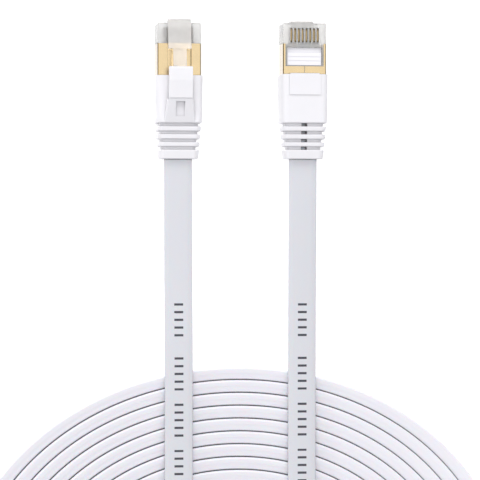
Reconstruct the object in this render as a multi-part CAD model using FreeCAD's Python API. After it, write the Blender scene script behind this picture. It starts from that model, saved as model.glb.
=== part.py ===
import FreeCAD, Part
import math
import os

# Flat ethernet patch cable: two shielded eight-position modular plugs on one flat cable that lies
# in an oval coil.  Millimetres, +Z up, the floor at z = 0, +Y towards the plug noses.  The origin
# is on the floor, midway between the two plugs.
#
# Each plug is drawn in a frame of its own: x across, y = 0 at the housing's front face with the
# rest of the plug behind it at negative y, and +z on the latch side.

V = FreeCAD.Vector
ACROSS = V(1, 0, 0)
AHEAD = V(0, 1, 0)
UP = V(0, 0, 1)

# ---- plug body ----
PLUG_WIDTH = 11.68
PLUG_HEIGHT = 6.5
HOUSING_LENGTH = 21.5
NOSE_CORNER_RADIUS = 0.4
CHANNEL_WIDTH = 7.0
CHANNEL_FLOOR = 1.95
CHANNEL_REAR = -16.4

# ---- shield: folded sheet round the housing, with a crimp collar behind it ----
SHIELD_SHEET = 0.2
SHIELD_PROUD = 0.02
SHIELD_CORNER_RADIUS = 0.35
SKIN_GAP = 0.03
SHIELD_FRONT = -5.5
SHIELD_REAR = -20.8
SHIELD_SIDE_STRIP = 0.69
SEAM_WIDTH = 0.12
COLLAR_REAR = -24.7
COLLAR_WIDTH = 8.3
COLLAR_HEIGHT = 2.8
COLLAR_CORNER_RADIUS = 1.1
STRAP_WIDTH = 6.0

# ---- contacts, wires and load bar ----
PIN_COUNT = 8
PIN_PITCH = 1.02
SLOT_WIDTH = 0.5
SLOT_FRONT = -1.35
SLOT_REAR = -5.15
BLADE_THICKNESS = 0.35
BLADE_END_GAP = 0.12
BLADE_SUNK = 0.25
PRONG_REACH = 0.6
PRONG_HALF_WIDTH = 0.25
WIRE_ROW_Z = -0.55
WIRE_RADIUS = 0.4
CORE_RADIUS = 0.19
CORE_BORE_RADIUS = 0.2
WIRE_FRONT = -1.1
WIRE_ROOM = 0.05
PAIR_PITCH = 1.75
WIRE_PITCH_IN_PAIR = 0.82
FOIL_SHEET = 0.04
FOIL_GAP = 0.01
FOIL_FRONT = -18.2
WINDOW_FRONT = -6.5
WINDOW_REAR = -11.3
LOAD_BAR_WIDTH = 9.3
LOAD_BAR_GAP = 0.03
LOAD_BAR_FACE = -2.75
LOAD_BAR_BACK = 0.4
LOAD_BAR_STEP_REAR = -7.85
LOAD_BAR_STEP_DEPTH = 0.4
LOAD_BAR_GROOVE_PITCH = 1.1
LOAD_BAR_GROOVE_DEPTH = 0.12
JACKET_END = -20.5
DRAIN_RADIUS = 0.17
DRAIN_INSIDE_Z = 0.62
DRAIN_OUTSIDE_Z = 1.02
DRAIN_END = -24.4

# ---- latch and press tab ----
LATCH_PIVOT_Y = 0.25
LATCH_PIVOT_Z = 2.35
LATCH_KNUCKLE_RADIUS = 0.42
LATCH_WIDTH = 6.2
LATCH_NOSE = 1.0
LATCH_SHOULDER = -7.0
LATCH_TAIL_END = -14.8
LATCH_TAIL_WIDTH = 3.6
LATCH_RISE = math.tan(math.radians(11.0))
LATCH_SEAT_Z = 2.3
LATCH_SEAT_Y = -0.5
LATCH_THICKNESS = 1.35
TAIL_THICKNESS = 1.0
TAIL_OVERLAP = 0.5
TAIL_CHAMFER = 0.4
TAB_PIVOT_Y = -20.3
TAB_PIVOT_Z = 6.2
TAB_KNUCKLE_RADIUS = 0.42
TAB_FRONT = -11.8
TAB_WIDTH = 6.3
TAB_TOP = 7.45
TAB_FLAT_REAR = -15.5
TAB_CORNER_RADIUS = 0.35
NIB_Y = -12.5
NIB_Z = 6.15
NIB_RADIUS = 0.4
NIB_WIDTH = 3.0
KNUCKLE_CLEARANCE = 0.06
SEAT_WIDTH = 8.0

# ---- boot ----
BOOT_FRONT = -13.6
BOOT_FRONT_LATCH_SIDE = -14.0
SLEEVE_REAR = -26.66
BOOT_REAR = -36.15
SLEEVE_FRONT_WIDTH = 12.6
SLEEVE_REAR_WIDTH = 12.3
SLEEVE_CORNER_RADIUS = 1.4
BOOT_TOP = 4.35
BOOT_BASE = -4.35
PANEL_RELIEF = 0.3
PANEL_WIDTH = 8.4
PANEL_REAR = -19.1
LIP_WIDTH = 7.8
LIP_REACH = 0.25
LIP_THICKNESS = 0.4
HOOD_TOP = 6.8
HOOD_REAR = -26.4
HOOD_GROOVE_WIDTH = 2.4
HOOD_GROOVE_REAR = -24.9
TAIL_SLOT_WIDTH = 4.5
TAIL_SLOT_REAR = -16.2
CAVITY_REAR = -21.9
COLLAR_ROOM_REAR = -24.9
GROOVE_WIDTH = 0.88
GROOVE_CENTRES = (-27.1, -29.2, -31.3, -33.3)
VENT_WIDTH = 1.6
RIB_FRONT_WIDTH = 12.0
RIB_REAR_WIDTH = 10.6
RIB_FRONT_HEIGHT = 8.2
RIB_REAR_HEIGHT = 5.2
RIB_CORNER_RADIUS = 1.5
CORE_REAR = -35.0
CORE_FRONT_WIDTH = 10.5
CORE_REAR_WIDTH = 9.0
CORE_FRONT_HEIGHT = 6.2
CORE_REAR_HEIGHT = 3.7
CORE_CORNER_RADIUS = 1.2
RIB_EDGE_RADIUS = 0.25

# ---- cable ----
CABLE_WIDTH = 7.5
CABLE_THICKNESS = 1.6
CABLE_EDGE_RADIUS = 0.45
CABLE_ROOM = 0.05
PLUG_SPACING = 33.2
PLUG_A_AXIS_Z = 4.35
PLUG_B_AXIS_Z = 7.65

# ---- coil: turns of the flat cable lie shingled, with their outer edges up ----
COIL_HALF_WIDTH = 76.6
COIL_HALF_DEPTH = 63.1
NOSE_TO_COIL = 92.5
TURNS_ACROSS_BAND = 12
TURN_PITCH_Y = 3.44
TURN_PITCH_X = 3.7

PLUG_LENGTH = LATCH_NOSE - BOOT_REAR
NOSE_TIP_Y = PLUG_LENGTH / 2
FRONT_FACE_Y = NOSE_TIP_Y - LATCH_NOSE
COIL_CENTRE_Y = NOSE_TIP_Y - NOSE_TO_COIL - COIL_HALF_DEPTH
TURN_TILT = math.asin(CABLE_THICKNESS / TURN_PITCH_Y)
TURN_LEAN = CABLE_WIDTH * math.cos(TURN_TILT)
COIL_HEIGHT = CABLE_WIDTH * math.sin(TURN_TILT) + CABLE_THICKNESS * math.cos(TURN_TILT)

HALF_PITCH = PLUG_SPACING / 2
JACKET_END_Y = FRONT_FACE_Y + JACKET_END

# Routes of the two leads, each from its plug.  They lie face up on the coil.  The
# one at plug A drops into the hole and joins the innermost turn.  The one at plug B comes up
# off the outermost turn.
LEAD_A_ROUTE = [
    (-HALF_PITCH, JACKET_END_Y, PLUG_A_AXIS_Z),
    (-HALF_PITCH, -25.0, PLUG_A_AXIS_Z),
    (-HALF_PITCH, -49.0, 4.7),
    (-HALF_PITCH, -72.0, 6.25),
    (-HALF_PITCH, -97.0, 5.8),
    (-HALF_PITCH, -120.0, 6.0),
    (-16.7, -130.0, 5.0),
    (-HALF_PITCH, -138.8, 3.35),
    (-13.5, -147.1, 2.7),
    (-7.8, -153.8, 2.5),
    (0.0, -158.2, 2.45),
    (8.8, -159.6, 2.45),
]
LEAD_B_ROUTE = [
    (HALF_PITCH, JACKET_END_Y, PLUG_B_AXIS_Z),
    (HALF_PITCH, -25.0, PLUG_B_AXIS_Z),
    (HALF_PITCH, -51.0, 6.5),
    (HALF_PITCH, -78.0, 6.0),
    (HALF_PITCH, -103.0, 5.9),
    (HALF_PITCH, -127.0, 5.72),
    (HALF_PITCH, -151.0, 5.68),
    (HALF_PITCH, -169.9, 5.86),
    (12.3, -180.6, 5.92),
    (4.6, -189.3, 5.85),
    (-5.5, -194.8, 5.98),
    (-17.0, -197.1, 6.1),
    (-29.0, -196.4, 6.2),
    (-45.0, -190.9, 3.8),
]


# ---------------------------------------------------------------- shape helpers

def box(x0, x1, y0, y1, z0, z1):
    return Part.makeBox(x1 - x0, y1 - y0, z1 - z0, V(x0, y0, z0))


def wide_box(width, y0, y1, z0, z1):
    return box(-width / 2, width / 2, y0, y1, z0, z1)


def bar_across(y, z, radius, width):
    return Part.makeCylinder(radius, width, V(-width / 2, y, z), ACROSS)


def side_prism(outline, width):
    """A solid with the given (y, z) outline, centred across x."""
    corners = [V(-width / 2, y, z) for y, z in outline]
    face = Part.Face(Part.makePolygon(corners + corners[:1]))
    return face.extrude(V(width, 0, 0))


def rounded_wire(centre, across, up, width, height, radius):
    """Closed rounded rectangle: width along across, height along up."""
    def at(u, v):
        return centre + across * u + up * v

    arcs = []
    for quarter in range(4):
        start = math.radians(90 * quarter - 90)
        middle = start + math.pi / 4
        corner_u = math.copysign(width / 2 - radius, math.cos(middle))
        corner_v = math.copysign(height / 2 - radius, math.sin(middle))
        arcs.append([at(corner_u + radius * math.cos(a), corner_v + radius * math.sin(a))
                     for a in (start, middle, start + math.pi / 2)])
    edges = []
    for arc, following in zip(arcs, arcs[1:] + arcs[:1]):
        edges.append(Part.Arc(*arc).toShape())
        if arc[2].distanceToPoint(following[0]) > 1e-6:
            edges.append(Part.LineSegment(arc[2], following[0]).toShape())
    return Part.Wire(edges)


def plug_section(y, width, z0, z1, radius):
    return rounded_wire(V(0, y, (z0 + z1) / 2), ACROSS, UP, width, z1 - z0, radius)


def rounded_bar(y0, y1, width, z0, z1, radius):
    return Part.Face(plug_section(y0, width, z0, z1, radius)).extrude(V(0, y1 - y0, 0))


def tapered_bar(front, rear):
    """front and rear are (y, width, z0, z1, radius)."""
    return Part.makeLoft([plug_section(*front), plug_section(*rear)], True, True)


def round_edges(shape, radius, wanted):
    return shape.makeFillet(radius, [edge for edge in shape.Edges if wanted(edge)])


def lies_at_y(edge, y):
    bounds = edge.BoundBox
    return abs(bounds.YMin - y) < 1e-4 and abs(bounds.YMax - y) < 1e-4


def runs_along_z(edge):
    bounds = edge.BoundBox
    return bounds.ZLength > 0.1 and bounds.XLength < 1e-4 and bounds.YLength < 1e-4


def arc_radius(before, corner, after):
    """Radius of the arc at a corner of a route: 0.45 of the shorter run over tan(half the turn)."""
    arriving = (corner - before)
    leaving = (after - corner)
    turn = arriving.getAngle(leaving)
    return 0.45 * min(arriving.Length, leaving.Length) / math.tan(turn / 2)


def arc_ends(before, corner, after):
    """Where the arc at a corner of a route starts and ends."""
    cut = 0.45 * min((corner - before).Length, (after - corner).Length)
    arriving = (corner - before).normalize()
    leaving = (after - corner).normalize()
    return corner - arriving * cut, corner + leaving * cut


def route_wire(points):
    """Straight runs joined by tangent arcs."""
    edges = []
    last = points[0]
    for before, corner, after in zip(points, points[1:], points[2:]):
        start, end = arc_ends(before, corner, after)
        radius = arc_radius(before, corner, after)
        inward = ((start - corner).normalize() + (end - corner).normalize()).normalize()
        half_turn = (corner - before).getAngle(after - corner) / 2
        middle = corner + inward * (radius / math.cos(half_turn) - radius)
        edges.append(Part.LineSegment(last, start).toShape())
        edges.append(Part.Arc(start, middle, end).toShape())
        last = end
    edges.append(Part.LineSegment(last, points[-1]).toShape())
    return Part.Wire(edges)


# ---------------------------------------------------------------- plug sub-parts, plug frame

def pin_x(pin):
    """Pin 0 is on the left when the contacts face up and the nose points away."""
    return -(pin - (PIN_COUNT - 1) / 2) * PIN_PITCH


def make_housing():
    half_width = PLUG_WIDTH / 2
    half_height = PLUG_HEIGHT / 2
    shoulder = SHIELD_FRONT + 0.1
    inset = SHIELD_SHEET + SKIN_GAP
    front = box(-half_width, half_width, shoulder, 0, -half_height, half_height)
    front = round_edges(front, NOSE_CORNER_RADIUS,
                        lambda edge: lies_at_y(edge, 0) and edge.BoundBox.ZLength > 1)
    body = wide_box(PLUG_WIDTH - 2 * inset, -HOUSING_LENGTH, shoulder,
                    -half_height + inset - SHIELD_PROUD, half_height - inset + SHIELD_PROUD)
    lug = wide_box(LATCH_WIDTH, -0.2, 0.6, 1.0, 2.1)
    seat = bar_across(LATCH_PIVOT_Y, LATCH_PIVOT_Z, LATCH_KNUCKLE_RADIUS + KNUCKLE_CLEARANCE,
                      SEAT_WIDTH)
    channel = wide_box(CHANNEL_WIDTH, CHANNEL_REAR, 0.1, CHANNEL_FLOOR, half_height + 1)
    rear_chamber = wide_box(9.2, -HOUSING_LENGTH - 1, WINDOW_REAR, -2.4, 1.5)
    window = wide_box(LOAD_BAR_WIDTH + 2 * LOAD_BAR_GAP, WINDOW_REAR, WINDOW_FRONT,
                      -half_height - 1, LOAD_BAR_BACK + WIRE_ROOM)
    way = WIRE_RADIUS + WIRE_ROOM
    wire_way = wide_box((PIN_COUNT - 1) * PIN_PITCH + 2 * way + 0.3, WINDOW_FRONT - 0.1,
                        WIRE_FRONT + 0.1, WIRE_ROW_Z - way, WIRE_ROW_Z + way)
    cuts = [seat, channel, rear_chamber, window, wire_way]
    for pin in range(PIN_COUNT):
        x = pin_x(pin)
        cuts.append(box(x - SLOT_WIDTH / 2, x + SLOT_WIDTH / 2, SLOT_REAR, SLOT_FRONT,
                        -half_height - 1, WIRE_ROW_Z))
    return front.fuse([body, lug]).cut(cuts).removeSplitter()


def make_blade(pin):
    """Contact blade: a crown with rounded corners and two prongs that reach the core."""
    crown = -PLUG_HEIGHT / 2 + BLADE_SUNK
    front = SLOT_FRONT - BLADE_END_GAP
    rear = SLOT_REAR + BLADE_END_GAP
    core_surface = WIRE_ROW_Z - CORE_RADIUS
    foot = WIRE_ROW_Z - WIRE_RADIUS - 0.15

    def prong(y):
        return [(y - PRONG_HALF_WIDTH, foot), (y, core_surface), (y + PRONG_HALF_WIDTH, foot)]

    outline = [(front, foot), (front, crown + 0.45), (front - 0.12, crown + 0.13),
               (front - 0.45, crown), (rear + 0.45, crown), (rear + 0.12, crown + 0.13),
               (rear, crown + 0.45), (rear, foot)]
    outline += prong(rear + PRONG_REACH) + prong(front - PRONG_REACH)
    return side_prism(outline, BLADE_THICKNESS).translated(V(pin_x(pin), 0, 0))


def make_contacts():
    return Part.makeCompound([make_blade(pin) for pin in range(PIN_COUNT)])


def make_load_bar():
    """Comb that holds the wires in a row: its front end is stepped down and its face grooved."""
    front = WINDOW_FRONT - LOAD_BAR_GAP
    rear = WINDOW_REAR + LOAD_BAR_GAP
    bar = wide_box(LOAD_BAR_WIDTH, rear, front, LOAD_BAR_FACE, LOAD_BAR_BACK)
    bar = round_edges(bar, 0.15, lambda edge: abs(edge.BoundBox.ZMax - LOAD_BAR_FACE) < 1e-4)
    cuts = [wide_box(LOAD_BAR_WIDTH + 1, LOAD_BAR_STEP_REAR, front + 1, LOAD_BAR_FACE - 1,
                     LOAD_BAR_FACE + LOAD_BAR_STEP_DEPTH)]
    for groove in range(2):
        y = LOAD_BAR_STEP_REAR - LOAD_BAR_GROOVE_PITCH * (groove + 1)
        cuts.append(wide_box(LOAD_BAR_WIDTH - 0.6, y - LOAD_BAR_GROOVE_DEPTH,
                             y + LOAD_BAR_GROOVE_DEPTH, LOAD_BAR_FACE - 1,
                             LOAD_BAR_FACE + LOAD_BAR_GROOVE_DEPTH))
    for pin in range(PIN_COUNT):
        cuts.append(Part.makeCylinder(WIRE_RADIUS + WIRE_ROOM, front - rear + 2,
                                      V(pin_x(pin), rear - 1, WIRE_ROW_Z), AHEAD))
    return bar.cut(cuts)


# Wires in pin order.  Each has its place in the flat row of four pairs inside the jacket,
# counted from 0, so that the green pair is split round the blue one at the contacts.
WIRES = [
    ("white_orange", 0),
    ("orange", 1),
    ("white_green", 2),
    ("blue", 4),
    ("white_blue", 5),
    ("green", 3),
    ("white_brown", 6),
    ("brown", 7),
]


def jacket_x(place):
    pair = place // 2
    side = place % 2 - 0.5
    return -((pair - 1.5) * PAIR_PITCH + side * WIRE_PITCH_IN_PAIR)


def wire_route(pin, place):
    """From the jacket's end to the front of the wire way.  The wire whose place is out of pin
    order climbs over its neighbours."""
    start_x = jacket_x(place)
    end_x = pin_x(pin)
    if WIRES[pin][0] == "green":
        middle = [V(start_x, -17.7, 0), V(start_x * 0.8, -16.3, 1.0), V(end_x * 0.9, -13.7, 1.0)]
        middle.append(V(end_x, -12.0, WIRE_ROW_Z))
    else:
        middle = [V(start_x, -16.4, 0), V(end_x, -12.8, WIRE_ROW_Z)]
    return [V(start_x, JACKET_END, 0)] + middle + [V(end_x, WIRE_FRONT, WIRE_ROW_Z)]


def round_tube(points, outer, inner=None):
    path = route_wire(points)
    along = (points[1] - points[0]).normalize()
    section = Part.Face(Part.Wire(Part.makeCircle(outer, points[0], along)))
    if inner:
        section = section.cut(Part.Face(Part.Wire(Part.makeCircle(inner, points[0], along))))
        section = section.Faces[0]
    return path.makePipe(section)


def make_conductor(pin):
    place = WIRES[pin][1]
    tube = round_tube(wire_route(pin, place), WIRE_RADIUS, CORE_BORE_RADIUS)
    return tube.cut(make_blade(pin))


def make_cores():
    return Part.makeCompound([round_tube(wire_route(pin, wire[1]), CORE_RADIUS)
                              for pin, wire in enumerate(WIRES)])


def make_pair_foils():
    foils = []
    inner_width = WIRE_PITCH_IN_PAIR + 2 * (WIRE_RADIUS + FOIL_GAP)
    inner_height = 2 * (WIRE_RADIUS + FOIL_GAP)
    for pair in range(4):
        outer = rounded_bar(JACKET_END, FOIL_FRONT, inner_width + 2 * FOIL_SHEET,
                            -inner_height / 2 - FOIL_SHEET, inner_height / 2 + FOIL_SHEET, 0.44)
        inner = rounded_bar(JACKET_END - 1, FOIL_FRONT + 1, inner_width,
                            -inner_height / 2, inner_height / 2, 0.405)
        foils.append(outer.cut(inner).translated(V((pair - 1.5) * PAIR_PITCH, 0, 0)))
    return Part.makeCompound(foils)


def make_drain_wire():
    """Comes out of the jacket, folds back over it and ends under the crimp collar."""
    fold_y = JACKET_END + 0.55
    radius = (DRAIN_OUTSIDE_Z - DRAIN_INSIDE_Z) / 2
    start = V(0, JACKET_END, DRAIN_INSIDE_Z)
    fold_start = V(0, fold_y, DRAIN_INSIDE_Z)
    fold_top = V(0, fold_y + radius, DRAIN_INSIDE_Z + radius)
    fold_end = V(0, fold_y, DRAIN_OUTSIDE_Z)
    path = Part.Wire([
        Part.LineSegment(start, fold_start).toShape(),
        Part.Arc(fold_start, fold_top, fold_end).toShape(),
        Part.LineSegment(fold_end, V(0, DRAIN_END, DRAIN_OUTSIDE_Z)).toShape(),
    ])
    section = Part.Face(Part.Wire(Part.makeCircle(DRAIN_RADIUS, start, AHEAD)))
    return path.makePipe(section)


def make_collar():
    """Crimp collar round the jacket, joined to the sleeve by a strap along the contact side."""
    front = -HOUSING_LENGTH - 0.05
    half = COLLAR_HEIGHT / 2
    sleeve_base = -PLUG_HEIGHT / 2 - SHIELD_PROUD
    ring = rounded_bar(COLLAR_REAR, front, COLLAR_WIDTH, -half, half, COLLAR_CORNER_RADIUS)
    bore = rounded_bar(COLLAR_REAR - 1, front + 1, COLLAR_WIDTH - 2 * SHIELD_SHEET,
                       -half + SHIELD_SHEET, half - SHIELD_SHEET,
                       COLLAR_CORNER_RADIUS - SHIELD_SHEET)
    strap_floor = wide_box(STRAP_WIDTH, front - SHIELD_SHEET, SHIELD_REAR + 0.1, sleeve_base,
                           sleeve_base + SHIELD_SHEET)
    strap_wall = wide_box(STRAP_WIDTH, front - SHIELD_SHEET, front, sleeve_base,
                          -half + SHIELD_SHEET / 2)
    return ring.cut(bore), [strap_floor, strap_wall]


def make_shield():
    """Folded sheet: a sleeve with a window, a trough under the latch and a crimp collar."""
    half = PLUG_HEIGHT / 2 + SHIELD_PROUD
    outer = rounded_bar(SHIELD_REAR, SHIELD_FRONT, PLUG_WIDTH, -half, half, SHIELD_CORNER_RADIUS)
    inner = wide_box(PLUG_WIDTH - 2 * SHIELD_SHEET, SHIELD_REAR - 1, SHIELD_FRONT + 1,
                     -half + SHIELD_SHEET, half - SHIELD_SHEET)
    window = wide_box(PLUG_WIDTH - 2 * SHIELD_SIDE_STRIP, WINDOW_REAR - 0.2, SHIELD_FRONT + 1,
                      -half - 1, -half + 1)
    seam = wide_box(SEAM_WIDTH, SHIELD_REAR - 1, 0, -half - 1, -half + 1)
    trough_width = CHANNEL_WIDTH - 2 * SKIN_GAP
    trough_rear = CHANNEL_REAR + SKIN_GAP
    trough_base = CHANNEL_FLOOR + SKIN_GAP
    trough = wide_box(trough_width, trough_rear, SHIELD_FRONT, trough_base, half)
    trough_hollow = wide_box(trough_width - 2 * SHIELD_SHEET, trough_rear + SHIELD_SHEET,
                             SHIELD_FRONT + 1, trough_base + SHIELD_SHEET, half + 1)
    collar, strap = make_collar()
    sleeve = outer.cut([inner, window, seam]).fuse([trough] + strap)
    return sleeve.cut(trough_hollow).fuse(collar).removeSplitter()


def latch_base(y):
    return LATCH_SEAT_Z + (LATCH_SEAT_Y - y) * LATCH_RISE


def make_latch():
    arm = side_prism([
        (LATCH_NOSE, 2.5), (LATCH_NOSE, 3.05), (0.7, 3.4),
        (0.0, latch_base(0) + LATCH_THICKNESS),
        (LATCH_SHOULDER, latch_base(LATCH_SHOULDER) + LATCH_THICKNESS),
        (LATCH_SHOULDER, latch_base(LATCH_SHOULDER)),
        (-0.3, latch_base(-0.3)), (0.25, 2.1), (0.7, 2.2),
    ], LATCH_WIDTH)
    tail_front = LATCH_SHOULDER + TAIL_OVERLAP
    tail_taper = LATCH_TAIL_END + TAIL_CHAMFER
    tail = side_prism([
        (tail_front, latch_base(tail_front)),
        (tail_front, latch_base(tail_front) + TAIL_THICKNESS),
        (tail_taper, latch_base(tail_taper) + TAIL_THICKNESS),
        (LATCH_TAIL_END, latch_base(LATCH_TAIL_END) + TAIL_THICKNESS - TAIL_CHAMFER),
        (LATCH_TAIL_END, latch_base(LATCH_TAIL_END) + 0.25),
        (tail_taper, latch_base(tail_taper)),
    ], LATCH_TAIL_WIDTH)
    knuckle = bar_across(LATCH_PIVOT_Y, LATCH_PIVOT_Z, LATCH_KNUCKLE_RADIUS, LATCH_WIDTH)
    return arm.fuse([tail, knuckle]).removeSplitter()


def make_press_tab():
    """Tongue over the latch's tail, with a nib that presses it and a hinge knuckle behind."""
    rear = TAB_PIVOT_Y + 0.18
    plate = side_prism([
        (TAB_FRONT, 6.6), (TAB_FRONT, TAB_TOP - 0.35), (TAB_FRONT - 0.12, TAB_TOP - 0.1),
        (TAB_FRONT - 0.4, TAB_TOP), (TAB_FLAT_REAR, TAB_TOP), (rear, 6.85), (rear, 5.85),
        (TAB_FRONT - 0.15, 6.48),
    ], TAB_WIDTH)
    plate = round_edges(plate, TAB_CORNER_RADIUS, lambda edge: runs_along_z(edge)
                        and edge.BoundBox.YMin > TAB_FRONT - 0.01)
    nib = bar_across(NIB_Y, NIB_Z, NIB_RADIUS, NIB_WIDTH)
    nib_root = wide_box(NIB_WIDTH, NIB_Y - NIB_RADIUS, NIB_Y + NIB_RADIUS, NIB_Z, 6.9)
    knuckle_width = TAB_WIDTH - 0.3
    knuckle = bar_across(TAB_PIVOT_Y, TAB_PIVOT_Z, TAB_KNUCKLE_RADIUS, knuckle_width)
    bridge = wide_box(knuckle_width, TAB_PIVOT_Y, rear + 0.2, TAB_PIVOT_Z - 0.3,
                      TAB_PIVOT_Z + 0.3)
    return plate.fuse([nib, nib_root, knuckle, bridge]).removeSplitter()


def rib_spans():
    """(front, rear) of each rib, between the grooves and after the last one."""
    fronts = [centre - GROOVE_WIDTH / 2 for centre in GROOVE_CENTRES]
    rears = [centre + GROOVE_WIDTH / 2 for centre in GROOVE_CENTRES[1:]] + [BOOT_REAR]
    return list(zip(fronts, rears))


def rib_size(y):
    """Width and height of the strain relief's outline at y."""
    share = (SLEEVE_REAR - y) / (SLEEVE_REAR - BOOT_REAR)
    return (RIB_FRONT_WIDTH + (RIB_REAR_WIDTH - RIB_FRONT_WIDTH) * share,
            RIB_FRONT_HEIGHT + (RIB_REAR_HEIGHT - RIB_FRONT_HEIGHT) * share)


def make_rib(front, rear):
    front_width, front_height = rib_size(front)
    rear_width, rear_height = rib_size(rear)
    rib = tapered_bar(
        (front, front_width, -front_height / 2, front_height / 2, RIB_CORNER_RADIUS),
        (rear, rear_width, -rear_height / 2, rear_height / 2, RIB_CORNER_RADIUS))
    return round_edges(rib, RIB_EDGE_RADIUS,
                       lambda edge: lies_at_y(edge, front) or lies_at_y(edge, rear))


def make_boot_body():
    """Sleeve with its grip panel, the hood behind the press tab, and the ribbed strain relief."""
    flank = BOOT_BASE + PANEL_RELIEF
    sleeve = tapered_bar((BOOT_FRONT, SLEEVE_FRONT_WIDTH, flank, BOOT_TOP, SLEEVE_CORNER_RADIUS),
                         (SLEEVE_REAR, SLEEVE_REAR_WIDTH, flank, BOOT_TOP, SLEEVE_CORNER_RADIUS))
    sleeve = round_edges(sleeve, 0.35, lambda edge: lies_at_y(edge, SLEEVE_REAR))
    panel = wide_box(PANEL_WIDTH, PANEL_REAR, BOOT_FRONT, BOOT_BASE, flank + 0.2)
    hood = tapered_bar((TAB_PIVOT_Y, 7.0, 3.5, HOOD_TOP, 0.6),
                       (HOOD_REAR, 8.5, 3.5, BOOT_TOP + 0.02, 0.4))
    core = tapered_bar((SLEEVE_REAR + 0.5, CORE_FRONT_WIDTH, -CORE_FRONT_HEIGHT / 2,
                        CORE_FRONT_HEIGHT / 2, CORE_CORNER_RADIUS),
                       (CORE_REAR, CORE_REAR_WIDTH, -CORE_REAR_HEIGHT / 2,
                        CORE_REAR_HEIGHT / 2, CORE_CORNER_RADIUS))
    return sleeve.fuse([panel, hood, core] + [make_rib(*span) for span in rib_spans()])


def make_boot():
    ahead = BOOT_FRONT + 1
    above = BOOT_TOP + 0.1
    below = BOOT_BASE - 0.1
    slant = side_prism([(BOOT_FRONT + 0.01, below), (BOOT_FRONT_LATCH_SIDE, above),
                        (ahead, above), (ahead, below)], SLEEVE_FRONT_WIDTH + 1)
    half_cavity = PLUG_HEIGHT / 2 + SHIELD_PROUD + 0.05
    cavity = wide_box(PLUG_WIDTH + 0.1, CAVITY_REAR, ahead, -half_cavity, half_cavity)
    half_room = COLLAR_HEIGHT / 2 + 0.2
    collar_room = rounded_bar(COLLAR_ROOM_REAR, CAVITY_REAR + 0.1, COLLAR_WIDTH + 0.2,
                              -half_room, half_room, COLLAR_CORNER_RADIUS + 0.1)
    half_way = CABLE_THICKNESS / 2 + CABLE_ROOM
    cable_way = rounded_bar(BOOT_REAR - 1, COLLAR_ROOM_REAR + 0.1, CABLE_WIDTH + 2 * CABLE_ROOM,
                            -half_way, half_way, CABLE_EDGE_RADIUS + CABLE_ROOM)
    tail_slot = wide_box(TAIL_SLOT_WIDTH, TAIL_SLOT_REAR, ahead, half_cavity - 0.1, above)
    groove_front = TAB_PIVOT_Y - 0.7
    hood_groove = side_prism([(groove_front, HOOD_TOP + 1), (groove_front, 5.3),
                              (HOOD_GROOVE_REAR, BOOT_TOP + 0.1),
                              (HOOD_GROOVE_REAR, HOOD_TOP + 1)], HOOD_GROOVE_WIDTH)
    knuckle_seat = bar_across(TAB_PIVOT_Y, TAB_PIVOT_Z, TAB_KNUCKLE_RADIUS + KNUCKLE_CLEARANCE,
                              SEAT_WIDTH)
    vents = [wide_box(VENT_WIDTH, y - GROOVE_WIDTH / 2, y + GROOVE_WIDTH / 2, -4, 0)
             for y in GROOVE_CENTRES]
    lip = wide_box(LIP_WIDTH, BOOT_FRONT - 1, BOOT_FRONT + LIP_REACH, BOOT_BASE + PANEL_RELIEF,
                   BOOT_BASE + PANEL_RELIEF + LIP_THICKNESS)
    cuts = [slant, cavity, collar_room, cable_way, tail_slot, hood_groove, knuckle_seat] + vents
    return make_boot_body().cut(cuts).fuse(lip).removeSplitter()


def plug_parts():
    parts = {
        "housing": make_housing(),
        "latch": make_latch(),
        "contacts": make_contacts(),
        "load_bar": make_load_bar(),
        "shield": make_shield(),
        "drain_wire": make_drain_wire(),
        "boot": make_boot(),
        "press_tab": make_press_tab(),
        "cores": make_cores(),
        "pair_foils": make_pair_foils(),
    }
    for pin, wire in enumerate(WIRES):
        parts["conductor_" + wire[0]] = make_conductor(pin)
    return parts


def place_plug_a(shape):
    return shape.translated(V(-HALF_PITCH, FRONT_FACE_Y, PLUG_A_AXIS_Z))


def place_plug_b(shape):
    turned = shape.copy()
    turned.rotate(V(0, 0, 0), AHEAD, 180)
    return turned.translated(V(HALF_PITCH, FRONT_FACE_Y, PLUG_B_AXIS_Z))


# ---------------------------------------------------------------- cable

def make_lead(name, route):
    """Flat cable carried along the route: straight runs extruded, arcs revolved."""
    points = [V(*point) for point in route]
    along = (points[1] - points[0]).normalize()
    across = V(along.y, -along.x, 0).normalize()
    face = Part.Face(rounded_wire(points[0], across, across.cross(along), CABLE_WIDTH,
                                  CABLE_THICKNESS, CABLE_EDGE_RADIUS))
    area = face.Area
    pieces = []
    radii = []
    here = points[0]
    for before, corner, after in zip(points, points[1:], points[2:]):
        start, end = arc_ends(before, corner, after)
        radius = arc_radius(before, corner, after)
        arriving = (corner - before).normalize()
        leaving = (after - corner).normalize()
        axis = arriving.cross(leaving).normalize()
        centre = start + axis.cross(arriving) * radius
        turn = math.degrees(arriving.getAngle(leaving))
        pieces.append(face.extrude(start - here))
        face = face.translated(start - here)
        pieces.append(face.revolve(centre, axis, turn))
        face = face.rotated(centre, axis, turn)
        here = end
        radii.append(round(radius, 1))
    pieces.append(face.extrude(points[-1] - here))
    lead = pieces[0].fuse(pieces[1:]).removeSplitter()
    length = route_wire(points).Length
    print(name, "length", round(length, 1), "radii", radii)
    print(name, "volume", round(lead.Volume, 1), "section x length", round(area * length, 1))
    return lead


def ellipse_wire(half_x, half_y, z):
    curve = Part.Ellipse(V(0, COIL_CENTRE_Y, z), half_x, half_y)
    return Part.Wire(curve.toShape())


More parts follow.
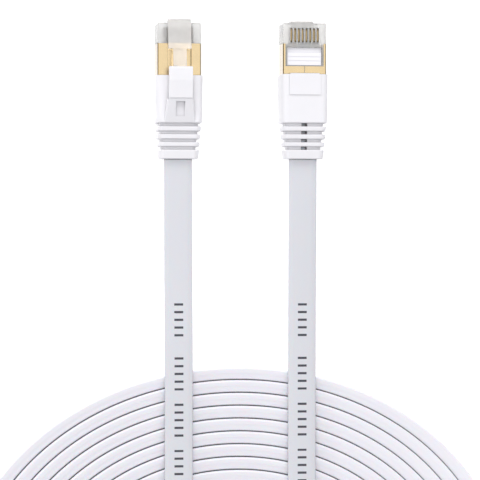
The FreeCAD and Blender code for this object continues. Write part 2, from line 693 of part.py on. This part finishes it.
def make_coil():
    """One closed ring with the outer shape of all the turns."""
    inner_x = COIL_HALF_WIDTH - TURNS_ACROSS_BAND * TURN_PITCH_X - TURN_LEAN
    inner_y = COIL_HALF_DEPTH - TURNS_ACROSS_BAND * TURN_PITCH_Y - TURN_LEAN

    def funnel(half_x, half_y, extra):
        return Part.makeLoft([
            ellipse_wire(half_x - extra * TURN_LEAN / COIL_HEIGHT,
                         half_y - extra * TURN_LEAN / COIL_HEIGHT, -extra),
            ellipse_wire(half_x + TURN_LEAN + extra * TURN_LEAN / COIL_HEIGHT,
                         half_y + TURN_LEAN + extra * TURN_LEAN / COIL_HEIGHT,
                         COIL_HEIGHT + extra),
        ], True, True)

    outer = funnel(COIL_HALF_WIDTH - TURN_LEAN, COIL_HALF_DEPTH - TURN_LEAN, 0)
    hollow = funnel(inner_x, inner_y, 1.0)
    return outer.cut(hollow)


# ---------------------------------------------------------------- all parts

def main():
    os.makedirs("parts", exist_ok=True)
    nodes = {}
    for name, shape in plug_parts().items():
        nodes[name + "_a"] = place_plug_a(shape)
        nodes[name + "_b"] = place_plug_b(shape)
    nodes["lead_a"] = make_lead("lead_a", LEAD_A_ROUTE)
    nodes["lead_b"] = make_lead("lead_b", LEAD_B_ROUTE)
    nodes["cable_coil"] = make_coil()
    for name, shape in nodes.items():
        solids = shape.Solids
        print(name, len(solids), "solids, valid", shape.isValid(), round(shape.Volume, 3), "mm3")
        shape.exportStep("parts/" + name + ".step")


main()
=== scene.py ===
"""Flat ethernet patch cable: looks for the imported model, in metres and in its frame.

The floor is z = 0 and +Y runs towards the plug noses.  Plug a lies latch side up on the left,
plug b contact side up on the right.
"""
import math

import bmesh
import bpy
from mathutils import Matrix, Vector


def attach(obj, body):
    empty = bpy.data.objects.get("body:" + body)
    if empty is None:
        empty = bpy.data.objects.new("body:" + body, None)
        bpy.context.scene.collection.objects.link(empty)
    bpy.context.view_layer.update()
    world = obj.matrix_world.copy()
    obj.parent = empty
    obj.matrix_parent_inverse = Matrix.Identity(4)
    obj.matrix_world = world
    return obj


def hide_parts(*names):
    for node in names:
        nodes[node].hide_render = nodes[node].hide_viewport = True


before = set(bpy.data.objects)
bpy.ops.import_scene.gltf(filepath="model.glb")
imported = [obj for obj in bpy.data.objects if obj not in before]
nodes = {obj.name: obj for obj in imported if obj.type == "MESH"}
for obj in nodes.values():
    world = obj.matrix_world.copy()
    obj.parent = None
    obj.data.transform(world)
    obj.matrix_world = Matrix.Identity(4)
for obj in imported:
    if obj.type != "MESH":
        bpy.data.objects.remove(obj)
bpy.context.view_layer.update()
scene = bpy.context.scene

MM = 0.001
PLUGS = ("a", "b")
WIRES = ("white_orange", "orange", "white_green", "blue",
         "white_blue", "green", "white_brown", "brown")


# ---------------------------------------------------------------- camera

VIEW_TILT = math.radians(8.0)
VIEW_WIDTH = 128.3 * MM
LENS = 200.0
SENSOR = 36.0
AIM = Vector((0.75 * MM, -40.2 * MM, 0.0))
AIM_HEIGHT = 6.0 * MM
CLIP_START = 0.01
CLIP_END = 20.0


def make_camera():
    data = bpy.data.cameras.new("camera")
    data.lens = LENS
    data.sensor_width = SENSOR
    data.dof.use_dof = False
    camera = bpy.data.objects.new("camera", data)
    right = Vector((math.cos(VIEW_TILT), 0.0, math.sin(VIEW_TILT)))
    ahead = Vector((0.0, 1.0, 0.0))
    back = right.cross(ahead)
    distance = VIEW_WIDTH * LENS / SENSOR + AIM_HEIGHT
    camera.matrix_world = Matrix.Translation(AIM + back * distance) @ Matrix(
        (right, ahead, back)).transposed().to_4x4()
    data.clip_start = CLIP_START
    data.clip_end = CLIP_END
    scene.collection.objects.link(camera)
    scene.camera = camera


# ---------------------------------------------------------------- node helpers

def new_material(name):
    material = bpy.data.materials.new(name)
    material.use_nodes = True
    tree = material.node_tree
    return material, tree, tree.nodes["Principled BSDF"]


def add_node(tree, kind, **settings):
    node = tree.nodes.new(kind)
    for key, value in settings.items():
        if key in node.bl_rna.properties:
            setattr(node, key, value)
        else:
            node.inputs[key].default_value = value
    return node


def set_inputs(shader, **values):
    for key, value in values.items():
        shader.inputs[key.replace("_", " ")].default_value = value


def object_point(tree):
    return add_node(tree, "ShaderNodeTexCoord").outputs["Object"]


def noise(tree, point, scale, detail=3.0, roughness=0.5):
    node = add_node(tree, "ShaderNodeTexNoise")
    node.inputs["Scale"].default_value = scale
    node.inputs["Detail"].default_value = detail
    node.inputs["Roughness"].default_value = roughness
    tree.links.new(point, node.inputs["Vector"])
    return node.outputs["Fac"]


def ramp(tree, value, stops):
    node = tree.nodes.new("ShaderNodeValToRGB")
    elements = node.color_ramp.elements
    while len(elements) < len(stops):
        elements.new(0.5)
    for element, (position, color) in zip(elements, stops):
        element.position = position
        element.color = (*color, 1.0)
    tree.links.new(value, node.inputs["Fac"])
    return node.outputs["Color"]


def math_node(tree, operation, first, second=None, third=None):
    node = tree.nodes.new("ShaderNodeMath")
    node.operation = operation
    for socket, value in zip(node.inputs, (first, second, third)):
        if value is None:
            continue
        if isinstance(value, (int, float)):
            socket.default_value = value
        else:
            tree.links.new(value, socket)
    return node.outputs[0]


def mix_color(tree, factor, color, other):
    """color where factor is 0, and the plain colour other where it is 1."""
    node = tree.nodes.new("ShaderNodeMix")
    node.data_type = "RGBA"
    tree.links.new(factor, node.inputs["Factor"])
    tree.links.new(color, node.inputs["A"])
    node.inputs["B"].default_value = (*other, 1)
    return node.outputs["Result"]


CREVICE_SAMPLES = 12


def crevice(tree, reach, open_above, deep_below):
    """Mask for painted shade: 1 in a tight crevice, 0 on open surface, judged by how much is hidden
    within reach.
    """
    node = add_node(tree, "ShaderNodeAmbientOcclusion", samples=CREVICE_SAMPLES)
    node.inputs["Distance"].default_value = reach
    spread = open_above - deep_below
    shut = math_node(tree, "MULTIPLY_ADD", node.outputs["AO"], -1.0 / spread, open_above / spread)
    shut.node.use_clamp = True
    return shut


def bump(tree, shader, height, strength, distance):
    node = tree.nodes.new("ShaderNodeBump")
    node.inputs["Strength"].default_value = strength
    node.inputs["Distance"].default_value = distance
    tree.links.new(height, node.inputs["Height"])
    tree.links.new(node.outputs["Normal"], shader.inputs["Normal"])


def shade_of(color, factor):
    return tuple(channel * factor for channel in color)


# ---------------------------------------------------------------- materials

JACKET_COLOR = (0.84, 0.83, 0.88)
# painted shade: the greyer tone of the leads, near both ends of the cable
END_SHADE_COLOR = (0.63, 0.635, 0.675)
# painted shade: near black, for the crevices between the cable's turns
CREVICE_SHADE_COLOR = (0.07, 0.07, 0.08)
INK_COLOR = (0.06, 0.06, 0.075)
# painted dark gold: the painted dark reflection along bends and the painted shade in crevices
PAINTED_DARK_GOLD = (0.24, 0.17, 0.08)
# painted shade: grooves and crevices of the soft plastics are darkened to this share of their
# colour
GROOVE_SHADE = 0.84
# painted shade: clear plastic faces turned sideways are darkened to this share of their colour
PAINTED_CLEAR_SIDE_SHADE = 0.62
SIDE_FACING = 0.9
# gold: faces turned sideways past BEND_FACING get the painted dark reflection, past
# FLAT_SIDE_FACING the painted side colour
BEND_FACING = 0.3
FLAT_SIDE_FACING = 0.95
SCATTER_SCALE = 0.6 * MM
SCATTER_RADIUS = (1.0, 0.9, 0.85)


def soft_plastic(name, color, rough, grain, mottling=0.03, scatter=0.0):
    """Moulded or extruded soft plastic: faint cloudiness, fine satin grain, and painted shade in
    its grooves and crevices.
    """
    material, tree, shader = new_material(name)
    point = object_point(tree)
    cloud = noise(tree, point, 160.0)
    plain = ramp(tree, cloud, [(0.3, shade_of(color, 1 - mottling)), (0.7, color)])
    # painted shade: grooves and crevices are painted darker
    crevice_shade = crevice(tree, 2.2 * MM, 0.85, 0.55)
    tree.links.new(mix_color(tree, crevice_shade, plain, shade_of(color, GROOVE_SHADE)),
                   shader.inputs["Base Color"])
    fine = noise(tree, point, 9000.0, 2.0)
    uneven = math_node(tree, "MULTIPLY_ADD", noise(tree, point, 500.0), 0.10, rough - 0.05)
    tree.links.new(uneven, shader.inputs["Roughness"])
    bump(tree, shader, fine, grain, 0.00002)
    set_inputs(shader, Subsurface_Weight=scatter, Subsurface_Scale=SCATTER_SCALE)
    shader.inputs["Subsurface Radius"].default_value = SCATTER_RADIUS
    return material


def sideways(tree):
    """How far the surface faces along x, 0 to 1, on either side."""
    parts = tree.nodes.new("ShaderNodeSeparateXYZ")
    tree.links.new(add_node(tree, "ShaderNodeTexCoord").outputs["Normal"], parts.inputs[0])
    return math_node(tree, "ABSOLUTE", parts.outputs["X"])


def clear_plastic(name, color, milk):
    """Clear moulded polycarbonate, a little milky, with faint flow lines and painted shade on the
    faces turned sideways.
    """
    material, tree, shader = new_material(name)
    point = object_point(tree)
    flow = noise(tree, point, 700.0, 2.0)
    plain = ramp(tree, flow, [(0.3, shade_of(color, 0.95)), (0.7, color)])
    # painted shade: faces turned sideways are painted darker, for how light falls on them
    side = math_node(tree, "GREATER_THAN", sideways(tree), SIDE_FACING)
    tree.links.new(mix_color(tree, side, plain, shade_of(color, PAINTED_CLEAR_SIDE_SHADE)),
                   shader.inputs["Base Color"])
    set_inputs(shader, Transmission_Weight=1.0 - milk, IOR=1.5)
    rough = math_node(tree, "MULTIPLY_ADD", flow, 0.08, 0.10)
    tree.links.new(rough, shader.inputs["Roughness"])
    bump(tree, shader, flow, 0.15, 0.0001)
    return material


def gold(name, color, painted_side_color, rough, streaks):
    """Gold plate on rolled sheet: fine rolling streaks along the part, a painted dark reflection
    along its bends, painted shade in crevices, and a painted side colour on the faces turned
    sideways."""
    material, tree, shader = new_material(name)
    point = object_point(tree)
    stretch = add_node(tree, "ShaderNodeMapping")
    stretch.inputs["Scale"].default_value = (1.0, 0.06, 1.0)
    tree.links.new(point, stretch.inputs["Vector"])
    lines = noise(tree, stretch.outputs["Vector"], streaks, 4.0, 0.6)
    cloud = noise(tree, point, 220.0)
    plate = ramp(tree, cloud, [(0.3, shade_of(color, 0.94)), (0.75, color)])
    facing = sideways(tree)
    # painted dark reflection: where the surface turns partly sideways, along its bends, the gold is
    # painted dark
    bend_darkened = mix_color(tree, math_node(tree, "GREATER_THAN", facing, BEND_FACING), plate, PAINTED_DARK_GOLD)
    # painted side colour on faces turned fully sideways, for how light falls on them
    sided = mix_color(tree, math_node(tree, "GREATER_THAN", facing, FLAT_SIDE_FACING), bend_darkened,
                      painted_side_color)
    # painted shade: tight crevices are painted the same dark gold
    deep = crevice(tree, 0.8 * MM, 0.70, 0.40)
    tree.links.new(mix_color(tree, deep, sided, PAINTED_DARK_GOLD), shader.inputs["Base Color"])
    tree.links.new(math_node(tree, "MULTIPLY_ADD", lines, 0.06, rough - 0.03),
                   shader.inputs["Roughness"])
    bump(tree, shader, lines, 0.06, 0.00003)
    set_inputs(shader, Metallic=1.0)
    return material


def metal(name, color, rough):
    """Bare metal with a fine uneven grain."""
    material, tree, shader = new_material(name)
    grain = noise(tree, object_point(tree), 3000.0)
    tree.links.new(ramp(tree, grain, [(0.3, shade_of(color, 0.85)), (0.7, color)]),
                   shader.inputs["Base Color"])
    tree.links.new(math_node(tree, "MULTIPLY_ADD", grain, 0.15, rough), shader.inputs["Roughness"])
    set_inputs(shader, Metallic=1.0)
    return material


MARK_START = 54.2 * MM
MARK_END = 190.0 * MM
MARK_PITCH = 13.0 * MM
MARK_SHARE = 0.78
TICK_PITCH = 2.05 * MM
TICK_SHARE = 0.30
TICK_HALF_LENGTH = 0.32


def jacket(name, length):
    """Satin PVC with printed measuring ticks, in groups, down the middle of its upper face. Painted
    shade makes it greyer near both ends and near black in the crevices between the coil's turns.
    UV x is the distance along the cable in metres, UV y is -1 to 1 across the upper face."""
    material, tree, shader = new_material(name)
    point = object_point(tree)
    uv = add_node(tree, "ShaderNodeUVMap", uv_map="along")
    parts = tree.nodes.new("ShaderNodeSeparateXYZ")
    tree.links.new(uv.outputs["UV"], parts.inputs[0])
    along, across = parts.outputs["X"], parts.outputs["Y"]
    from_end = math_node(tree, "MINIMUM", along, math_node(tree, "SUBTRACT", length, along))
    cloud = math_node(tree, "MULTIPLY_ADD", noise(tree, point, 120.0), 0.06, -0.03)
    # painted shade: the last stretch towards each end is painted greyer, with a faint random wobble
    end_shade = math_node(tree, "ADD", math_node(tree, "MULTIPLY", from_end, 2.0), cloud)
    plain = ramp(tree, end_shade, [(0.30, END_SHADE_COLOR), (0.52, JACKET_COLOR)])
    run = math_node(tree, "SUBTRACT", from_end, MARK_START)
    printed = math_node(tree, "MULTIPLY", math_node(tree, "GREATER_THAN", run, 0.0),
                        math_node(tree, "LESS_THAN", from_end, MARK_END))
    tick = math_node(tree, "FRACT", math_node(tree, "DIVIDE", run, TICK_PITCH))
    group = math_node(tree, "FRACT", math_node(tree, "DIVIDE", run, MARK_PITCH))
    inside = math_node(tree, "LESS_THAN", math_node(tree, "ABSOLUTE", across), TICK_HALF_LENGTH)
    ink = printed
    for share in (math_node(tree, "LESS_THAN", tick, TICK_SHARE),
                  math_node(tree, "LESS_THAN", group, MARK_SHARE), inside):
        ink = math_node(tree, "MULTIPLY", ink, share)
    marked = mix_color(tree, ink, plain, INK_COLOR)
    # painted shade: the jacket is painted near black in tight crevices, which draws the dark lines
    # between the coil's turns
    crevice_shade = crevice(tree, 0.6 * MM, 0.80, 0.45)
    tree.links.new(mix_color(tree, crevice_shade, marked, CREVICE_SHADE_COLOR), shader.inputs["Base Color"])
    tree.links.new(math_node(tree, "MULTIPLY_ADD", noise(tree, point, 600.0), 0.12, 0.34),
                   shader.inputs["Roughness"])
    bump(tree, shader, noise(tree, point, 7000.0, 2.0), 0.12, 0.00002)
    set_inputs(shader, Subsurface_Weight=0.15, Subsurface_Scale=SCATTER_SCALE)
    return material


WIRE_COLORS = {
    "orange": (0.85, 0.42, 0.18),
    "green": (0.20, 0.52, 0.32),
    "blue": (0.25, 0.36, 0.62),
    "brown": (0.40, 0.27, 0.20),
    "white_orange": (0.92, 0.74, 0.60),
    "white_green": (0.70, 0.86, 0.74),
    "white_blue": (0.70, 0.78, 0.92),
    "white_brown": (0.80, 0.72, 0.66),
}


def paint(node, material):
    """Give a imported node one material."""
    mesh = nodes[node].data
    mesh.materials.clear()
    mesh.materials.append(material)


def make_materials():
    housing = clear_plastic("clear_polycarbonate", (0.84, 0.83, 0.82), 0.34)
    latch = clear_plastic("clear_latch", (0.99, 0.97, 0.95), 0.40)
    # the third colour of each gold is its painted side colour, for faces turned sideways
    shield = gold("gold_shield", (0.98, 0.77, 0.46), (0.62, 0.55, 0.46), 0.25, 5000.0)
    contact = gold("gold_contact", (0.62, 0.46, 0.23), (0.66, 0.50, 0.26), 0.30, 8000.0)
    bar = soft_plastic("load_bar_plastic", (0.86, 0.85, 0.89), 0.45, 0.10)
    boot = soft_plastic("boot_pvc", (0.81, 0.80, 0.83), 0.42, 0.15, 0.02, 0.15)
    copper = metal("copper", (0.80, 0.42, 0.25), 0.25)
    foil = metal("foil", (0.85, 0.85, 0.87), 0.25)
    tinned = metal("tinned_wire", (0.75, 0.75, 0.75), 0.3)
    wire = {name: soft_plastic("insulation_" + name, color, 0.35, 0.05)
            for name, color in WIRE_COLORS.items()}
    for plug in PLUGS:
        for kind, material in (("housing", housing), ("latch", latch), ("shield", shield),
                               ("contacts", contact), ("load_bar", bar), ("boot", boot),
                               ("press_tab", boot), ("cores", copper), ("pair_foils", foil),
                               ("drain_wire", tinned)):
            paint(f"{kind}_{plug}", material)
        for name in WIRES:
            paint(f"conductor_{name}_{plug}", wire[name])


# ---------------------------------------------------------------- cable

CABLE_WIDTH = 7.5 * MM
CABLE_THICKNESS = 1.6 * MM
TOP_EDGE_RADIUS = 0.35 * MM
BASE_EDGE_RADIUS = 1.0 * MM
MARGIN_WIDTH = 0.85 * MM
MARGIN_DROP = 0.20 * MM
COIL_HALF_WIDTH = 76.6 * MM
COIL_HALF_DEPTH = 63.1 * MM
COIL_CENTRE = Vector((0.0, -137.025 * MM, 0.0))
TURN_PITCH_X = 3.7 * MM
TURN_PITCH_Y = 3.44 * MM
TURNS_ACROSS_BAND = 12
TURN_TILT = math.asin(CABLE_THICKNESS / TURN_PITCH_Y)
COIL_HEIGHT = CABLE_WIDTH * math.sin(TURN_TILT) + CABLE_THICKNESS * math.cos(TURN_TILT)
TURN_SPREAD = CABLE_WIDTH * math.cos(TURN_TILT) + CABLE_THICKNESS * math.sin(TURN_TILT)
POINTS_PER_TURN = 36
EDGE_STEPS = 5
ROUTE_STEPS = 6
CROWN_DROP = 0.02 * MM
CROWN_HALF_EDGE = 0.1 * MM
LEAN_RUN = 50.0 * MM
LEAN_HEAD_START = 0.9
SPIRAL_START = math.radians(-56.0)
SPIRAL_END = math.radians(-142.0) + 2 * math.pi * TURNS_ACROSS_BAND
TOP_OF_FIRST_TURN = math.radians(90.0)

LEAD_A_ROUTE = [
    (-16.6, -2.925, 4.35), (-16.6, -25.0, 4.35), (-16.6, -49.0, 4.7), (-16.6, -72.0, 6.25),
    (-16.6, -97.0, 5.8), (-16.6, -120.0, 6.0), (-16.7, -130.0, 5.0), (-16.6, -138.8, 3.35),
    (-13.5, -147.1, 2.7), (-7.8, -153.8, 2.5), (0.0, -158.2, 2.45), (8.8, -159.6, 2.45),
]
LEAD_B_ROUTE = [
    (16.6, -2.925, 7.65), (16.6, -25.0, 7.65), (16.6, -51.0, 6.5), (16.6, -78.0, 6.0),
    (16.6, -103.0, 5.9), (16.6, -127.0, 5.72), (16.6, -151.0, 5.68), (16.6, -169.9, 5.86),
    (12.3, -180.6, 5.92), (4.6, -189.3, 5.85), (-5.5, -194.8, 5.98), (-17.0, -197.1, 6.1),
    (-29.0, -196.4, 6.2), (-45.0, -190.9, 3.8),
]


def coil_points():
    """The turns from the innermost to the outermost, anticlockwise."""
    outward = 1.0 / math.cos(math.pi / POINTS_PER_TURN)
    last_top = TOP_OF_FIRST_TURN + 2 * math.pi * (TURNS_ACROSS_BAND - 1)
    last_left = last_top + math.pi / 2
    count = round((SPIRAL_END - SPIRAL_START) / (2 * math.pi) * POINTS_PER_TURN)
    points = []
    for step in range(count + 1):
        angle = SPIRAL_START + (SPIRAL_END - SPIRAL_START) * step / count
        half_x = (COIL_HALF_WIDTH - TURN_SPREAD / 2
                  - TURN_PITCH_X * (last_left - angle) / (2 * math.pi))
        half_y = (COIL_HALF_DEPTH - TURN_SPREAD / 2
                  - TURN_PITCH_Y * (last_top - angle) / (2 * math.pi))
        points.append(COIL_CENTRE + Vector((half_x * outward * math.cos(angle),
                                            half_y * outward * math.sin(angle),
                                            COIL_HEIGHT / 2)))
    return points


def centreline(points):
    """Points of the smooth line with the given control points."""
    curve = bpy.data.curves.new("route", "CURVE")
    curve.dimensions = "3D"
    curve.resolution_u = ROUTE_STEPS
    spline = curve.splines.new("NURBS")
    spline.points.add(len(points) - 1)
    for slot, point in zip(spline.points, points):
        slot.co = (*point, 1.0)
    spline.order_u = 3
    spline.use_endpoint_u = True
    line = bpy.data.objects.new("route", curve)
    scene.collection.objects.link(line)
    mesh = bpy.data.meshes.new_from_object(line)
    found = [vertex.co.copy() for vertex in mesh.vertices]
    bpy.data.objects.remove(line)
    bpy.data.meshes.remove(mesh)
    return found


def smooth_step(value):
    value = min(max(value, 0.0), 1.0)
    return value * value * (3 - 2 * value)


def cable_section():
    """(across, out) round the flat section.  The upper face drops a little at its margins and
    the lower corners are the rounder ones."""
    half = CABLE_WIDTH / 2
    top = CABLE_THICKNESS / 2
    edge = top - MARGIN_DROP
    shoulder = half - TOP_EDGE_RADIUS - MARGIN_WIDTH
    right = [(0.0, top), (shoulder - CROWN_HALF_EDGE, top),
             (shoulder + CROWN_HALF_EDGE, top - CROWN_DROP)]
    for radius, height, start in ((TOP_EDGE_RADIUS, edge - TOP_EDGE_RADIUS, 90.0),
                                  (BASE_EDGE_RADIUS, BASE_EDGE_RADIUS - top, 0.0)):
        for step in range(EDGE_STEPS + 1):
            angle = math.radians(start - 90.0 * step / EDGE_STEPS)
            right.append((half - radius + radius * math.cos(angle),
                          height + radius * math.sin(angle)))
    right.append((0.0, -top))
    return right + [(-u, v) for u, v in reversed(right[1:-1])]


def running_lengths(line):
    along = [0.0]
    for before, here in zip(line, line[1:]):
        along.append(along[-1] + (here - before).length)
    return along


def nearest(line, point):
    return min(range(len(line)), key=lambda index: (line[index] - point).length)


def make_rings(mesh, line, lean, section):
    """A ring of vertices at each point of the line, leaning by its share of the turns' tilt."""
    rings = []
    for index, point in enumerate(line):
        ahead = line[min(index + 1, len(line) - 1)] - line[max(index - 1, 0)]
        ahead.normalize()
        right = ahead.cross(Vector((0, 0, 1))).normalized()
        up = right.cross(ahead)
        roll = TURN_TILT * lean[index]
        across = right * math.cos(roll) + up * math.sin(roll)
        out = up * math.cos(roll) - right * math.sin(roll)
        rings.append([mesh.verts.new(point + across * u + out * v) for u, v in section])
    return rings


def skin_rings(mesh, rings, along, section):
    """Faces between the rings, with the "along" UVs that the printed ticks need, and both ends."""
    uv_layer = mesh.loops.layers.uv.new("along")
    count = len(section)
    half = CABLE_WIDTH / 2
    for index in range(len(rings) - 1):
        for side in range(count):
            following = (side + 1) % count
            corners = ((index, side), (index, following), (index + 1, following),
                       (index + 1, side))
            face = mesh.faces.new([rings[ring][place] for ring, place in corners])
            face.smooth = True
            for loop, (ring, place) in zip(face.loops, corners):
                u, v = section[place]
                across = u / half if v > 0 else 2.0 + u / half
                loop[uv_layer].uv = (along[ring], across)
    for ring in (rings[0], rings[-1]):
        mesh.faces.new(ring)


def make_cable():
    """The whole jacket as one piece: lead a, the coil from the inside out, and lead b."""
    lead_a = [Vector(point) * MM for point in LEAD_A_ROUTE]
    lead_b = [Vector(point) * MM for point in reversed(LEAD_B_ROUTE)]
    coil = coil_points()
    line = centreline(lead_a + coil + lead_b)
    along = running_lengths(line)
    length = along[-1]
    coil_in = along[nearest(line, coil[1])]
    coil_out = along[nearest(line, coil[-2])]
    lean = [smooth_step((place - coil_in) / LEAN_RUN + LEAN_HEAD_START)
            * (1 - smooth_step((place - coil_out) / LEAN_RUN)) for place in along]
    section = cable_section()
    mesh = bmesh.new()
    rings = make_rings(mesh, line, lean, section)
    skin_rings(mesh, rings, along, section)
    bmesh.ops.recalc_face_normals(mesh, faces=mesh.faces)
    data = bpy.data.meshes.new("flat_cable")
    mesh.to_mesh(data)
    mesh.free()
    data.materials.append(jacket("cable_jacket", length))
    cable = bpy.data.objects.new("flat_cable", data)
    scene.collection.objects.link(cable)
    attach(cable, "root")
    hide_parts("lead_a", "lead_b", "cable_coil")
    print("cable length", round(length, 4))


# ---------------------------------------------------------------- stage and light

FLOOR_HALF = 3.0
FLOOR_DROP = 0.2 * MM
FLOOR_GLOW = 0.4


def make_floor():
    """A pale matt sheet just under the part."""
    material, tree, shader = new_material("floor_white")
    set_inputs(shader, Base_Color=(0.88, 0.88, 0.88, 1), Roughness=0.9)
    set_inputs(shader, Emission_Color=(1, 1, 1, 1), Emission_Strength=FLOOR_GLOW)
    mesh = bpy.data.meshes.new("floor")
    corners = [(x * FLOOR_HALF, y * FLOOR_HALF, 0) for x, y in ((-1, -1), (1, -1), (1, 1), (-1, 1))]
    mesh.from_pydata(corners, [], [(0, 1, 2, 3)])
    mesh.materials.append(material)
    floor = bpy.data.objects.new("floor", mesh)
    floor.location.z = -FLOOR_DROP
    scene.collection.objects.link(floor)


def area_light(name, place, target, size, power):
    data = bpy.data.lights.new(name, "AREA")
    data.shape = "RECTANGLE"
    data.size, data.size_y = size
    data.energy = power
    light = bpy.data.objects.new(name, data)
    light.location = place
    light.rotation_mode = "QUATERNION"
    light.rotation_quaternion = (Vector(target) - Vector(place)).to_track_quat("-Z", "Y")
    light.visible_camera = False
    light.visible_glossy = False
    scene.collection.objects.link(light)


DOME_STRENGTH = 0.95
DOME_COLORS = [(0.0, (0.08, 0.08, 0.09)), (0.28, (0.26, 0.265, 0.28)),
               (0.70, (0.70, 0.705, 0.72)), (0.93, (1.0, 1.0, 1.0))]


def make_world():
    """A white dome, brightest overhead and dark towards the horizon, so that metal edges read."""
    world = bpy.data.worlds.new("studio")
    world.use_nodes = True
    tree = world.node_tree
    direction = add_node(tree, "ShaderNodeTexCoord").outputs["Generated"]
    parts = tree.nodes.new("ShaderNodeSeparateXYZ")
    tree.links.new(direction, parts.inputs[0])
    dome = ramp(tree, parts.outputs["Z"], DOME_COLORS)
    tree.links.new(dome, tree.nodes["Background"].inputs["Color"])
    tree.nodes["Background"].inputs["Strength"].default_value = DOME_STRENGTH
    scene.world = world


LIGHT_TARGET = (0.0, -0.06, 0.0)


def make_lights():
    """Soft area lights, whose reflections don't show: name, place, size in metres, watts."""
    for name, place, size, power in (("overhead", (-0.12, 0.05, 0.90), (0.4, 0.4), 2.4),
                                     ("key", (-0.15, 0.80, 0.60), (0.6, 0.6), 4.2),
                                     ("left", (-0.75, 0.0, 0.32), (0.5, 0.2), 0.8)):
        area_light(name, place, LIGHT_TARGET, size, power)
    scene.view_settings.view_transform = "Standard"
    scene.view_settings.look = "None"
    scene.view_settings.exposure = 0.0


make_camera()
make_materials()
make_cable()
make_floor()
make_world()
make_lights()
